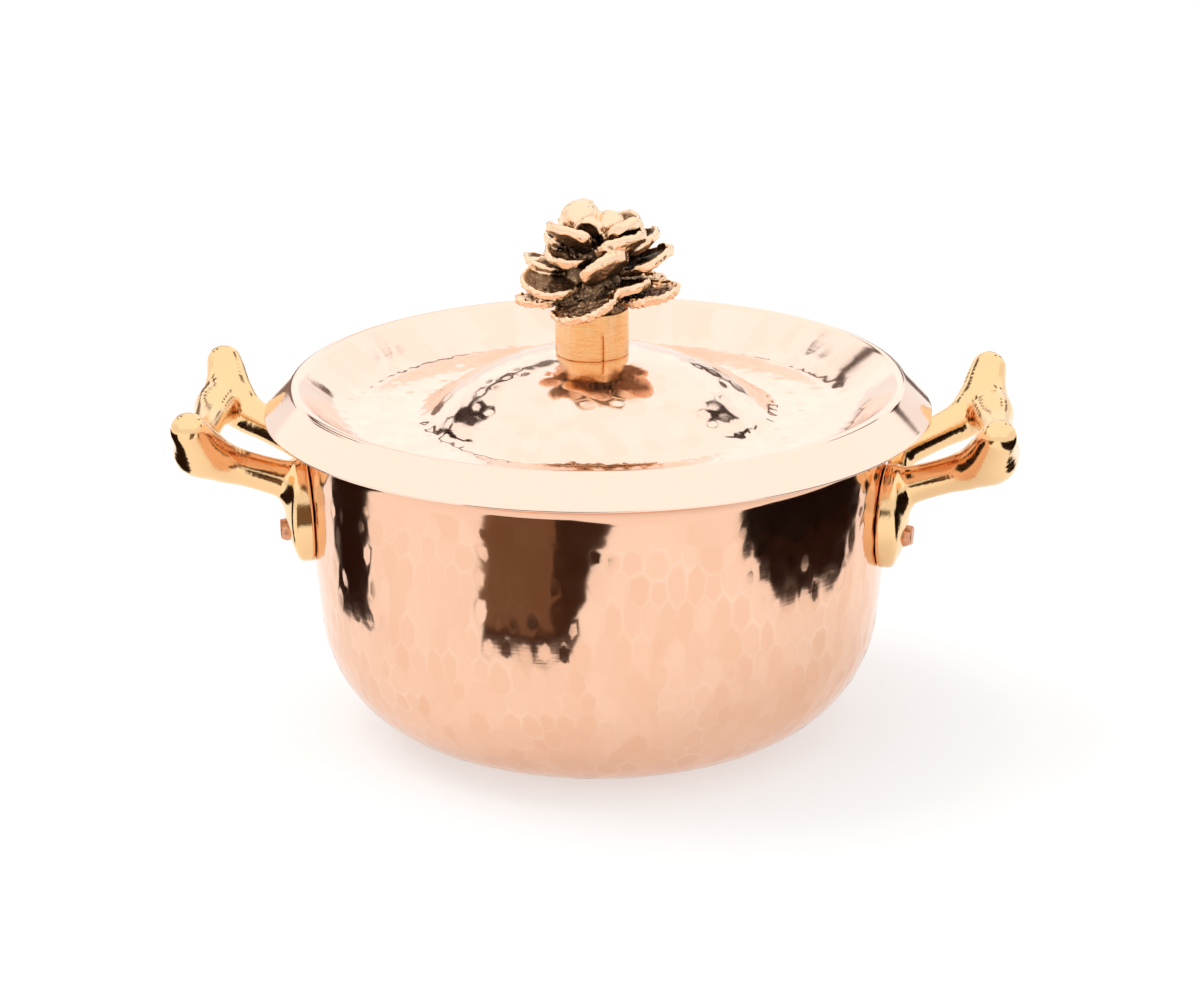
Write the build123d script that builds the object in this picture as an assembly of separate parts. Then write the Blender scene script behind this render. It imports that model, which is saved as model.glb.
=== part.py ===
"""Hammered copper cocotte with cast bronze handles and a bronze flower on its lid.

Millimetres, +Z up. The origin is the centre of the flat base, +X runs out through the right
handle, and the front of the pot faces -Y.
"""

from build123d import *
from math import acos, asin, cos, degrees, hypot, radians, sin, sqrt, tan
import os

# Pot: one raised copper sheet, tinned inside
WALL_RADIUS = 122.6  # outside, just under the lip
POT_HEIGHT = 136.9  # base to the middle of the lip's edge
COPPER = 1.6
TIN = 0.3
KNEE_RADIUS = 52.5  # outside curve from base to side
SIDE_BOW_RADIUS = 640.0  # the side is very slightly barrelled
LIP_WIDTH = 14.9  # from the wall's outside to the lip's edge
LIP_FLARE_RADIUS = 7.0
LIP_RISE = 15.0  # degrees above level

# Lid: one copper sheet, tinned below
LID_OVERHANG = 1.9  # past the lip's edge
LID_COPPER = 1.2
LID_SEAT_GAP = 0.3  # between the lip's edge and the lid's flange
FLANGE_WIDTH = 13.1  # from the lid's edge in to its crest
FLANGE_SLOPE = 45.9  # degrees
CREST_ROUNDING = 3.5
WELL_SLOPE = 38.3  # degrees, from crest down to the well
WELL_DEPTH = 14.7  # below the crest
WELL_FILLET = 5.0
DOME_SPHERE = 110.0
DOME_RISE = 25.5  # from the well to the knob's flat seat
DOME_FILLET = 4.0
SEAT_MARGIN = 0.4  # flat round the ferrule's foot
SEAT_ROUNDING = 6.0

# Knob
KNOB_OFFSET = -2.3  # along X: the knob stands a little off the lid's centre
FERRULE_RADIUS = 15.3
FERRULE_WALL = 2.0
FERRULE_HEIGHT = 19.5
SEAM_WIDTH = 0.7
SEAM_HEIGHT = 11.5
SEAM_AZIMUTH = 20.0  # degrees from the front towards +X
SPIGOT_GAP = 0.1
STUD_RADIUS = 3.0
STUD_LENGTH = 12.0  # up into the flower's neck
STUD_GAP = 0.1
STUD_HEAD_RADIUS = 5.0
STUD_HEAD_HEIGHT = 2.2
STUD_HEAD_CHAMFER = 1.1
WASHER_RADIUS = 9.0
WASHER_THICKNESS = 1.5

# Flower: a core with two round buds on top, and cupped petals, each placed on its own
PETAL_THICKNESS = 2.2
PETAL_ROOT_RADIUS = 7.0
CORE_WAIST_RADIUS = 12.5
CORE_WAIST_HEIGHT = 33.0
THROAT_RADIUS = 8.0
CORE_HEIGHT = 56.0
FLOWER_SHIFT = 2.3  # petals and buds stand this far towards +X over the neck
BUDS = ((-6.9, 2.0, 56.6, 8.6), (5.7, 1.0, 54.8, 6.3))  # middle and radius
# azimuth, root height, tip radius, tip height, half width, cup, roll, from the lowest petals up
PETALS = (
    (-12, 27.5, 27.0, 21.8, 16.0, 3.5, 20),
    (74, 24.8, 36.0, 29.0, 14.0, 3.5, 4),
    (-86, 26.5, 34.5, 22.5, 8.5, 3.0, 0),
    (132, 24.0, 34.0, 27.0, 14.0, 3.5, 0),
    (-145, 24.0, 33.0, 26.0, 15.0, 3.5, 0),
    (50, 28.5, 27.5, 33.2, 9.5, 3.0, 4),
    (-62, 34.5, 34.0, 32.0, 13.0, 3.5, -18),
    (14, 33.5, 26.5, 47.0, 11.5, 4.0, 20),
    (80, 36.0, 32.5, 45.5, 12.0, 4.0, 4),
    (-94, 36.0, 31.0, 40.0, 8.5, 3.0, 0),
    (140, 32.0, 31.0, 38.0, 13.0, 4.0, 0),
    (-142, 33.0, 30.0, 38.0, 13.0, 4.0, 0),
    (-52, 42.5, 23.5, 45.5, 12.0, 4.5, -10),
    (42, 43.0, 25.0, 55.5, 12.5, 4.5, 4),
    (98, 41.0, 26.5, 51.5, 10.0, 3.5, 0),
    (-108, 43.0, 23.0, 50.0, 10.0, 4.0, 0),
    (165, 41.0, 25.0, 49.0, 12.0, 4.5, 0),
    (-46, 46.5, 22.0, 59.0, 13.0, 4.0, 0),
    (48, 47.5, 22.5, 59.5, 9.5, 3.5, 0),
    (128, 47.0, 19.5, 57.5, 10.0, 4.0, 0),
    (-140, 48.0, 19.0, 57.0, 10.0, 4.0, 0),
    (-14, 46.0, 12.5, 61.0, 7.0, 2.2, 0),
)

# Handles: two pads, two arms that end in horns, and a saddle crossbar
PAD_SPREAD = 11.8  # degrees each side of the handle's middle
PAD_WIDTH = 29.0
PAD_HEIGHT = 44.0
PAD_DROP = 38.5  # lip's edge down to the pad's middle
PAD_CROWN = 10.8  # thickness in the middle
PAD_RIM = 4.4  # thickness at the edge
ARM_ROOT_DROP = 26.0  # lip's edge down to where the arm leaves its pad
# Stations of one arm and its horn: out from the wall, sideways and up from the root, radius
ARM = (
    (1.5, 0.0, -1.0, 9.8),
    (8.0, 1.2, 1.6, 7.9),
    (21.5, 5.6, 7.0, 7.4),
    (32.0, 9.6, 11.6, 8.6),
    (39.0, 15.0, 18.0, 10.0),
    (41.5, 21.5, 26.0, 8.4),
)
HORN_TIP_RADIUS = 7.6
HORN_TIP_RISE = 4.5  # past the last station
HORN_FOOT_SPREAD = 12.4  # sideways from the arm's root to the crossbar's end
# Half the crossbar: out from the wall, share of the way out to its end, up from the root, radius
CROSSBAR = (
    (41.5, 1.0, 16.5, 9.6),
    (43.5, 0.74, 16.2, 9.2),
    (44.2, 0.38, 15.2, 7.4),
    (44.0, 0.0, 14.8, 6.8),
)

# Rivets: one through each pad
RIVET_RADIUS = 3.6
RIVET_DROP = 46.5  # lip's edge down to the rivet
RIVET_GAP = 0.05
RIVET_HEAD_RADIUS = 4.6
RIVET_PROUD = 5.0
RIVET_TAPER = 2.0  # degrees
INNER_HEAD_RADIUS = 7.0
INNER_HEAD_HEIGHT = 2.0

POT_SHEET = COPPER + TIN
LID_SHEET = LID_COPPER + TIN
LIP_RADIUS = WALL_RADIUS + LIP_WIDTH
LID_RADIUS = LIP_RADIUS + LID_OVERHANG
CREST_RADIUS = LID_RADIUS - FLANGE_WIDTH
SEAT_RADIUS = FERRULE_RADIUS + abs(KNOB_OFFSET) + SEAT_MARGIN
NECK_RADIUS = FERRULE_RADIUS - FERRULE_WALL - SPIGOT_GAP
FAR = 2 * LID_RADIUS  # longer than anything here, for cutting shapes
SPARE = 1.0  # how far a cutting shape runs past what it cuts


class Outline:
    """A smooth (radius, height) path of lines and arcs that can be drawn at any offset to its left."""

    def __init__(self, radius, height, heading):
        self.at = (radius, height)
        self.heading = heading
        self.steps = []

    def line(self, length):
        start, way = self.at, radians(self.heading)
        self.at = (start[0] + length * cos(way), start[1] + length * sin(way))
        self.steps.append((start, self.at, self.heading, self.heading, None, 0))
        return self

    def line_to_radius(self, radius):
        return self.line((radius - self.at[0]) / cos(radians(self.heading)))

    def turn(self, radius, angle):
        """An arc; a positive angle turns left, which is up for a path that runs outwards."""
        side = 1 if angle > 0 else -1
        start, way = self.at, radians(self.heading)
        centre = (start[0] - side * radius * sin(way), start[1] + side * radius * cos(way))
        old, self.heading = self.heading, self.heading + angle
        way = radians(self.heading)
        self.at = (centre[0] + side * radius * sin(way), centre[1] - side * radius * cos(way))
        self.steps.append((start, self.at, old, self.heading, centre, side))
        return self

    def edges(self, offset):
        made = []
        for start, end, old, new, centre, side in self.steps:
            a, b = shifted(start, old, offset), shifted(end, new, offset)
            if centre is None:
                made.append(Line(in_section(a), in_section(b)))
                continue
            reach = hypot(a[0] - centre[0], a[1] - centre[1])
            way = radians((old + new) / 2)
            middle = (centre[0] + side * reach * sin(way), centre[1] - side * reach * cos(way))
            made.append(ThreePointArc(in_section(a), in_section(middle), in_section(b)))
        return made

    def end(self, offset):
        return shifted(self.at, self.heading, offset)

    def start(self, offset):
        return shifted(self.steps[0][0], self.steps[0][2], offset)


def shifted(point, heading, offset):
    way = radians(heading)
    return (point[0] - offset * sin(way), point[1] + offset * cos(way))


def in_section(point):
    return (point[0], 0, point[1])


def sheet(path, low, high, rounded=False):
    """The sheet between two offsets of a path, turned about the pot's axis."""
    a, b = path.end(low), path.end(high)
    middle = ((a[0] + b[0]) / 2, (a[1] + b[1]) / 2)
    if rounded:
        bulge = abs(high - low) / 2
        way = radians(path.heading)
        middle = (middle[0] + bulge * cos(way), middle[1] + bulge * sin(way))
        edge = ThreePointArc(in_section(a), in_section(middle), in_section(b))
    else:
        edge = Line(in_section(a), in_section(b))
    axis = Line(in_section(path.start(low)), in_section(path.start(high)))
    section = make_face([*path.edges(low), edge, *path.edges(high), axis])
    return revolve(section, Axis.Z, 360)


def filled_below(path, offset):
    """Everything under and inside a path at that offset, up to the height where the path ends."""
    start, end = path.start(offset), path.end(offset)
    top = in_section((0, end[1]))
    section = make_face(
        [*path.edges(offset), Line(in_section(end), top), Line(top, in_section(start))]
    )
    return revolve(section, Axis.Z, 360)


def pot_path():
    """The pot's outside, from the middle of the base to the start of the lip's rounded edge."""
    rise = radians(LIP_RISE)
    edge = POT_SHEET / 2
    lip_out = LIP_WIDTH - edge * (1 - sin(rise)) - LIP_FLARE_RADIUS * (1 - sin(rise))
    lip_up = lip_out * tan(rise) + LIP_FLARE_RADIUS * cos(rise)
    side = POT_HEIGHT - edge * cos(rise) - lip_up
    # Knee and bow together climb the side, and the bow ends upright
    lean = asin((side - KNEE_RADIUS) / (SIDE_BOW_RADIUS - KNEE_RADIUS))
    base = WALL_RADIUS - SIDE_BOW_RADIUS * (1 - cos(lean)) - KNEE_RADIUS * cos(lean)
    path = Outline(0, 0, 0).line(base).turn(KNEE_RADIUS, 90 - degrees(lean))
    path.turn(SIDE_BOW_RADIUS, degrees(lean)).turn(LIP_FLARE_RADIUS, LIP_RISE - 90)
    return path.line(lip_out / cos(rise))


def lid_edge_height():
    """Height of the lid's upper outer edge when its flange sits LID_SEAT_GAP off the lip."""
    slope = radians(FLANGE_SLOPE)
    apart = POT_SHEET / 2 + LID_SEAT_GAP + LID_SHEET
    inset = (LID_RADIUS - (LIP_RADIUS - POT_SHEET / 2)) * sin(slope)
    return POT_HEIGHT + (apart - inset) / cos(slope)


def lid_path(seat_height):
    """The lid's upper side, from its middle to the outer edge."""
    slope = radians(WELL_SLOPE)
    seat_turn = degrees(asin(SEAT_RADIUS / DOME_SPHERE))
    # The dome's arc and its fillet end at the same angle, and together fall by DOME_RISE
    reach = DOME_SPHERE * cos(radians(seat_turn)) + DOME_FILLET - DOME_RISE
    end = acos(reach / (DOME_SPHERE + DOME_FILLET))
    path = Outline(0, seat_height, 0).line(SEAT_RADIUS)
    path.turn(SEAT_ROUNDING, -seat_turn).turn(DOME_SPHERE, seat_turn - degrees(end))
    path.turn(DOME_FILLET, degrees(end))
    rounding = (WELL_FILLET + CREST_ROUNDING) * (1 - cos(slope))
    climb = (WELL_DEPTH - rounding) / sin(slope)
    run = (WELL_FILLET + CREST_ROUNDING) * sin(slope) + climb * cos(slope)
    path.line_to_radius(CREST_RADIUS - run).turn(WELL_FILLET, WELL_SLOPE).line(climb)
    path.turn(CREST_ROUNDING, -WELL_SLOPE - FLANGE_SLOPE)
    return path.line_to_radius(LID_RADIUS)


POT_PATH = pot_path()
LID_EDGE_HEIGHT = lid_edge_height()
LID_PATH = lid_path(LID_EDGE_HEIGHT - lid_path(0).at[1])
SEAT_HEIGHT = LID_PATH.start(0)[1]


def wall_at(drop):
    """The outside radius of the pot's bowed side, that far below the lip's edge."""
    bow_end = POT_PATH.steps[2][1]
    below = bow_end[1] - (POT_HEIGHT - drop)
    if below < 0:
        return WALL_RADIUS
    return WALL_RADIUS - SIDE_BOW_RADIUS + sqrt(SIDE_BOW_RADIUS**2 - below**2)


def pad_frame(side, drop):
    """A plane on the wall at one pad's azimuth, its Z out of the pot and its Y up, for the right handle."""
    way = radians(side * PAD_SPREAD)
    out = Vector(cos(way), sin(way), 0)
    origin = out * wall_at(drop) + Vector(0, 0, POT_HEIGHT - drop)
    return Plane(origin=origin, x_dir=Vector(-sin(way), cos(way), 0), z_dir=out)


def turned_ball(centre, radius, pole, seam):
    """A ball whose poles and seam lie away from the faces that are used."""
    return Plane(origin=centre, x_dir=seam, z_dir=pole) * Sphere(radius)


def pad_ball(side):
    """The ball whose surface is the pad's crowned front."""
    frame, fall = pad_frame(side, PAD_DROP), PAD_CROWN - PAD_RIM
    ball = ((PAD_HEIGHT / 2) ** 2 + fall**2) / (2 * fall)
    centre = frame.from_local_coords((0, 0, PAD_CROWN - ball))
    return turned_ball(centre, ball, frame.y_dir, frame.z_dir * -1)


def pad(side):
    """One oval pad, thick in the middle, whose back follows the wall."""
    oval = Ellipse(PAD_WIDTH / 2, PAD_HEIGHT / 2)
    block = extrude(pad_frame(side, PAD_DROP) * oval, PAD_CROWN + SPARE, both=True)
    return (block & pad_ball(side)) - filled_below(POT_PATH, 0)


def tube_through(stations):
    """A smooth solid through circles given as (point, radius), each square to the way past it."""
    rings = []
    for i, (point, radius) in enumerate(stations):
        before, after = stations[max(i - 1, 0)][0], stations[min(i + 1, len(stations) - 1)][0]
        way = (after - before).normalized()
        level = Vector(0, 0, 1).cross(way)
        rings.append(Plane(origin=point, x_dir=level, z_dir=way) * Circle(radius))
    return loft(rings)


def arm_root():
    """How far sideways of the handle's middle each arm leaves its pad."""
    return wall_at(ARM_ROOT_DROP) * sin(radians(PAD_SPREAD))


def handle_point(side, out, lateral, up):
    return Vector(wall_at(ARM_ROOT_DROP) + out, side * lateral, POT_HEIGHT - ARM_ROOT_DROP + up)


def arm(side):
    """One arm from its pad to the tip of its horn."""
    root = arm_root()
    stations = [(handle_point(side, out, root + lateral, up), r) for out, lateral, up, r in ARM]
    last, radius = stations[-1]
    tip = last + (last - stations[-2][0]).normalized() * HORN_TIP_RISE
    return tube_through(stations) + Pos(last) * Sphere(radius) + Pos(tip) * Sphere(HORN_TIP_RADIUS)


def crossbar():
    """The saddle between the two horns' feet, lower and thinner in its middle."""
    reach = arm_root() + HORN_FOOT_SPREAD
    half = [(out, share * reach, up, r) for out, share, up, r in CROSSBAR]
    there = [(handle_point(-1, out, lateral, up), r) for out, lateral, up, r in half]
    back = [(handle_point(1, out, lateral, up), r) for out, lateral, up, r in reversed(half[:-1])]
    bar = tube_through(there + back)
    for foot, radius in (there[0], back[-1]):
        bar += Pos(foot) * Sphere(radius)
    return bar


def rivet(side):
    """A copper rivet through pad and wall, roughly peened outside and flat-headed inside."""
    frame = pad_frame(side, RIVET_DROP)
    depth = POT_SHEET + INNER_HEAD_HEIGHT / 2
    shank = extrude(frame.offset(-depth) * Circle(RIVET_RADIUS), depth + PAD_CROWN)
    outside = extrude(frame * Circle(RIVET_HEAD_RADIUS), PAD_CROWN + RIVET_PROUD, taper=RIVET_TAPER)
    inside = frame.offset(-POT_SHEET - INNER_HEAD_HEIGHT - SPARE)
    head = extrude(inside * Circle(INNER_HEAD_RADIUS), INNER_HEAD_HEIGHT + POT_SHEET)
    head &= sheet(POT_PATH, POT_SHEET, POT_SHEET + INNER_HEAD_HEIGHT)
    return shank + (outside - pad_ball(side)) + head


def rivet_hole(side):
    frame = pad_frame(side, RIVET_DROP)
    return extrude(frame * Circle(RIVET_RADIUS + RIVET_GAP), POT_SHEET + PAD_CROWN + SPARE, both=True)


def right_handle():
    casting = pad(-1) + pad(1) + arm(-1) + arm(1) + crossbar()
    casting -= filled_below(POT_PATH, 0)
    for side in (-1, 1):
        casting -= rivet_hole(side)
    return casting


def petal(azimuth, root_height, tip_radius, tip_height, half_width, cup, roll):
    """A cupped petal: an oval patch of a ball's skin, from its root in the core to its tip."""
    way = radians(azimuth - 90)
    out = Vector(cos(way), sin(way), 0)
    root = out * PETAL_ROOT_RADIUS + Vector(0, 0, root_height)
    tip = out * tip_radius + Vector(0, 0, tip_height)
    chord, middle = tip - root, (root + tip) * 0.5
    half = chord.length / 2
    reach = max(half, half_width)
    level = Vector(0, 0, 1) - chord * (chord.Z / chord.length**2)
    normal = level.normalized().rotate(Axis((0, 0, 0), chord), roll)
    across = normal.cross(chord).normalized()
    ball = (reach**2 + cup**2) / (2 * cup)
    centre = middle + normal * (ball - cup)
    skin = turned_ball(centre, ball, across, normal)
    skin -= turned_ball(centre, ball - PETAL_THICKNESS, across, normal)
    oval = Plane(origin=middle, x_dir=chord, z_dir=normal) * Ellipse(half, half_width)
    return skin & extrude(oval, cup + PETAL_THICKNESS + SPARE, both=True)


def flower_core():
    """The neck that sits in the ferrule, and the calyx and throat over it."""
    neck = extrude(Circle(NECK_RADIUS), FERRULE_HEIGHT + SPARE)
    upright = (Align.CENTER, Align.CENTER, Align.MIN)
    calyx = Cone(FERRULE_RADIUS, CORE_WAIST_RADIUS, CORE_WAIST_HEIGHT - FERRULE_HEIGHT, align=upright)
    throat = Cone(CORE_WAIST_RADIUS, THROAT_RADIUS, CORE_HEIGHT - CORE_WAIST_HEIGHT, align=upright)
    return neck + Pos(0, 0, FERRULE_HEIGHT) * calyx + Pos(0, 0, CORE_WAIST_HEIGHT) * throat


def flower():
    """The cast flower: a core, its petals and its buds."""
    casting = flower_core()
    for shape in PETALS:
        casting += Pos(FLOWER_SHIFT, 0, 0) * petal(*shape)
    for x, y, height, radius in BUDS:
        casting += Pos(FLOWER_SHIFT + x, y, height) * Sphere(radius)
    hole = extrude(Circle(STUD_RADIUS + STUD_GAP), STUD_LENGTH + STUD_GAP)
    return Pos(KNOB_OFFSET, 0, SEAT_HEIGHT) * (casting - hole)


def ferrule():
    """The rolled tube between lid and flower, with its seam open at the foot."""
    tube = extrude(Circle(FERRULE_RADIUS) - Circle(FERRULE_RADIUS - FERRULE_WALL), FERRULE_HEIGHT)
    cut = Box(SEAM_WIDTH, 2 * (FERRULE_WALL + SPARE), SEAM_HEIGHT)
    seam = Pos(0, -FERRULE_RADIUS, SEAM_HEIGHT / 2) * cut
    return Pos(KNOB_OFFSET, 0, SEAT_HEIGHT) * (tube - Rot(0, 0, SEAM_AZIMUTH) * seam)


def stud():
    """The copper rivet that holds the knob, peened over the washer under the lid."""
    under = LID_SHEET + WASHER_THICKNESS
    shank = Pos(0, 0, -under) * extrude(Circle(STUD_RADIUS), under + STUD_LENGTH)
    head = Pos(0, 0, -under - STUD_HEAD_HEIGHT) * extrude(Circle(STUD_HEAD_RADIUS), STUD_HEAD_HEIGHT)
    head = chamfer(head.edges().group_by(Axis.Z)[0], STUD_HEAD_CHAMFER)
    return Pos(KNOB_OFFSET, 0, SEAT_HEIGHT) * (shank + head)


def washer():
    ring = extrude(Circle(WASHER_RADIUS) - Circle(STUD_RADIUS + STUD_GAP), WASHER_THICKNESS)
    return Pos(KNOB_OFFSET, 0, SEAT_HEIGHT - LID_SHEET - WASHER_THICKNESS) * ring


def stud_hole():
    drill = extrude(Circle(STUD_RADIUS + STUD_GAP), LID_SHEET + SPARE, both=True)
    return Pos(KNOB_OFFSET, 0, SEAT_HEIGHT) * drill


def pot_sheet(low, high, rounded=False):
    """Copper or tin of the pot, with the four rivet holes."""
    shell = sheet(POT_PATH, low, high, rounded)
    for side in (-1, 1):
        shell -= rivet_hole(side)
        shell -= Rot(0, 0, 180) * rivet_hole(side)
    return shell


def model():
    """Every node's solid or solids, by name."""
    right, rivets = right_handle(), [rivet(-1), rivet(1)]
    turned = Rot(0, 0, 180)
    return {
        "pot_body": [pot_sheet(0, COPPER, rounded=True)],
        "pot_tin_lining": [pot_sheet(COPPER, POT_SHEET)],
        "right_handle": [right],
        "left_handle": [turned * right],
        "right_handle_rivets": rivets,
        "left_handle_rivets": [turned * one for one in rivets],
        "lid_shell": [sheet(LID_PATH, -LID_COPPER, 0, rounded=True) - stud_hole()],
        "lid_tin_lining": [sheet(LID_PATH, -LID_SHEET, -LID_COPPER) - stud_hole()],
        "knob_ferrule": [ferrule()],
        "knob_flower": [flower()],
        "knob_stud": [stud()],
        "knob_washer": [washer()],
    }


os.makedirs("parts", exist_ok=True)
for name, solids in model().items():
    found = [solid for made in solids for solid in made.solids()]
    shape = found[0] if len(found) == 1 else Compound(children=found)
    export_step(shape, f"parts/{name}.step")
    print(name, len(found), "solids", round(sum(one.volume for one in found) / 1000, 2), "cm3")
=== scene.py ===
"""Looks of a hammered copper cocotte with cast bronze handles and a bronze flower knob.

Shapes are worked out in millimetres, in the frame of the solid model: +Z up, the origin in the middle
of the flat base, +X out through the right handle, the front facing -Y. Meshes are made in metres.
"""

from math import acos, asin, ceil, cos, degrees, pi, radians, sin, tan
from typing import NamedTuple

import bpy
import numpy as np
from mathutils import Matrix, Vector
from mathutils.geometry import delaunay_2d_cdt


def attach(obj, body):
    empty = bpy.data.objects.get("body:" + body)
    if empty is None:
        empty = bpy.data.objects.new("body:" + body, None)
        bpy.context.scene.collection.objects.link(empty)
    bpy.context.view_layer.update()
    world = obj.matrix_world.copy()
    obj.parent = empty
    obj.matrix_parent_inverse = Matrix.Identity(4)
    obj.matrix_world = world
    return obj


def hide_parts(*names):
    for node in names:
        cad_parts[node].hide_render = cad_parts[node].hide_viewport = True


MM = 0.001
UP = np.array([0.0, 0.0, 1.0])

# Dark cards round the set: azimuths from the camera at the foot and at the top, distance from the
# pot's axis, heights, colour
CARDS = (
    ("Card left", (-101, -81), (-97, -73), 225, (0, 130), "#24120a"),
    ("Card front left, low", (-36, -14), (-36, -13), 240, (0, 16), "#3d2718"),
    ("Card front left, high", (-36, -13), (-32, -12), 240, (16, 130), "#775c46"),
    ("Card front, low", (-14, -9), (-13, -3), 240, (0, 48), "#3d2718"),
    ("Card front, high", (-13, -3), (-12, 12), 240, (48, 130), "#3b281b"),
    ("Card right, low", (60, 92), (46, 101), 280, (0, 42), "#24120a"),
    ("Card right, high", (46, 101), (39, 101), 280, (42, 130), "#140803"),
    ("Card back left, low", (-173, -158), (-152, -140), 1200, (0, 400), "#8a7263"),
    ("Card back left, raised", (-136, -129), (-124, -117), 1200, (630, 925), "#4a3328"),
    ("Card back right, low", (154, 170), (156, 168), 1200, (0, 190), "#5b4334"),
    ("Card back right, middle", (135, 143), (134, 142), 1200, (400, 560), "#3a2418"),
    ("Card back left, overhead", (-149, -139), (-139, -131), 1200, (705, 1225), "#2a150c"),
    ("Card back right, overhead", (139, 147), (129, 136), 1200, (810, 1300), "#2a150c"),
    ("Card back left, line", (-180, -141), (-180, -141), 1200, (700, 800), "#43281a"),
    ("Card back right, line", (158, 167), (158, 167), 1200, (300, 420), "#5b4334"),
)
SOFTBOX_LIGHT = 1.22

# Pot, as in the solid model
WALL_RADIUS = 122.6
POT_HEIGHT = 136.9
COPPER = 1.6
TIN = 0.3
POT_SHEET = COPPER + TIN
KNEE_RADIUS = 52.5
SIDE_BOW_RADIUS = 640.0
LIP_WIDTH = 14.9
LIP_FLARE_RADIUS = 7.0
LIP_RISE = 15.0

# Lid
LID_RADIUS = 139.4
LID_COPPER = 1.2
LID_SHEET = LID_COPPER + TIN
LID_SEAT_GAP = 0.3
FLANGE_WIDTH = 13.1
FLANGE_SLOPE = 45.9
CREST_ROUNDING = 3.5
WELL_SLOPE = 38.3
WELL_DEPTH = 14.7
WELL_FILLET = 5.0
DOME_SPHERE = 110.0
DOME_RISE = 25.5
DOME_FILLET = 4.0
SEAT_RADIUS = 18.0
SEAT_ROUNDING = 6.0

# Hammer blows: distance along the sheet from its middle, blow width round, row height, dish, relief
POT_BLOWS = (
    (0, 9.0, 9.0, 0.02, 0.4),
    (66, 8.4, 8.8, 0.03, 1.0),
    (130, 7.9, 9.2, 0.03, 1.0),
    (165, 7.7, 13.5, 0.02, 1.0),
    (260, 7.7, 14.5, 0.02, 1.0),
)
LID_BLOWS = (
    (0, 8.0, 6.0, 0.02, 0.7),
    (60, 10.0, 6.2, 0.03, 1.0),
    (78, 8.0, 6.0, 0.05, 1.0),
    (100, 8.0, 6.0, 0.05, 1.0),
    (108, 9.0, 12.0, 0.02, 0.4),
    (140, 9.0, 12.0, 0.02, 0.3),
)
RELIEF_FADE = 9.0  # along the sheet, to nothing at the border
PLAIN_RIM = 1.6  # of the sheet between the last facets and the border
DRAWN_IN = 12.0  # of the sheet, over which the last facets are drawn in behind the border
CORNERS_PAST = 2.5  # the border, where those facets' outer corners lie before they are drawn in
RIDGE_INSET = 0.6  # of a facet that lies inside its rounded ridge
MIDDLE_INSET = 0.6  # of that part, inside its bevel
BEVEL_DEPTH = 0.4  # of a facet's dish, at the foot of its ridge
HIGHEST_RIDGE = 0.3
FACET_TILT = 1.5  # degrees, typical
BLOW_SCATTER = 0.24  # of a blow's width and row
STEADY_ROWS = 1.5  # short of the border, from where the sheet's bend is taken as it is there
LEAST_RADIUS = 5.0  # for the bend round the axis
POT_UNEVENNESS = 0.035
LID_UNEVENNESS = 0.03

# Knob
KNOB_OFFSET = -2.3
FERRULE_RADIUS = 15.3
FERRULE_WALL = 2.0
FERRULE_HEIGHT = 19.5
SEAM_WIDTH = 0.9
SEAM_HEIGHT = 11.5
SEAM_AZIMUTH = 20.0

# View
CAMERA_DISTANCE = 1600.0
CAMERA_ELEVATION = 17.09
CAMERA_AZIMUTH = 3.36
CAMERA_TILT = 1.433  # aimed this much below the middle of the lid's edge
CAMERA_PAN = -0.017
CAMERA_ROLL = 0.474
LENS = 114.5


def linear(code):
    """An sRGB hex colour as linear RGBA."""
    parts = [int(code[i : i + 2], 16) / 255 for i in (1, 3, 5)]
    return (*[c / 12.92 if c <= 0.04045 else ((c + 0.055) / 1.055) ** 2.4 for c in parts], 1.0)


def feed(tree, node, inputs):
    """Gives each input a value, another node's socket, or a node, for its first output in use."""
    for key, value in inputs.items():
        if isinstance(value, bpy.types.Node):
            value = next(socket for socket in value.outputs if socket.enabled)
        if isinstance(value, bpy.types.NodeSocket):
            tree.links.new(value, node.inputs[key])
        else:
            node.inputs[key].default_value = value


def add(tree, kind, inputs=None, **settings):
    """Adds a node with its settings, and feeds its inputs."""
    node = tree.nodes.new(kind)
    for name, value in settings.items():
        setattr(node, name, value)
    feed(tree, node, inputs or {})
    return node


def link(name, data):
    """A new object in the scene."""
    made = bpy.data.objects.new(name, data)
    bpy.context.scene.collection.objects.link(made)
    return made


def piece(name, points, faces, material, body, node):
    """A smooth-shaded mesh from points in millimetres, in the place of a node of the solid model."""
    mesh = bpy.data.meshes.new(name)
    mesh.from_pydata((np.asarray(points, float) * MM).tolist(), [], faces)
    mesh.validate()
    mesh.shade_smooth()
    mesh.materials.append(material)
    made = link(name, mesh)
    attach(made, body)
    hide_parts(node)
    return made


def store(made, label, values):
    """Keeps a number for each point of a piece, for its material."""
    made.data.attributes.new(label, "FLOAT", "POINT").data.foreach_set("value", values)


# Outlines of the two sheets


def outline(start, steps, pitch=0.5):
    """Rows of radius, height and heading along straight runs (None, length) and arcs (radius, angle)."""
    at, heading = np.array(start, float), 0.0
    rows = [(*at, heading)]
    for radius, amount in steps:
        if radius is None:
            count = max(1, ceil(amount / pitch))
            way = np.array([cos(heading), sin(heading)])
            rows += [(*(at + way * amount * k / count), heading) for k in range(1, count + 1)]
            at = at + way * amount
            continue
        turn = radians(amount)
        side = 1 if turn > 0 else -1
        centre = at + side * radius * np.array([-sin(heading), cos(heading)])
        count = max(2, ceil(abs(turn) * radius / pitch), ceil(abs(amount) / 6))
        for k in range(1, count + 1):
            way = heading + turn * k / count
            rows.append((*(centre + side * radius * np.array([sin(way), -cos(way)])), way))
        heading += turn
        at = np.array(rows[-1][:2])
    return np.array(rows)


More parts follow.
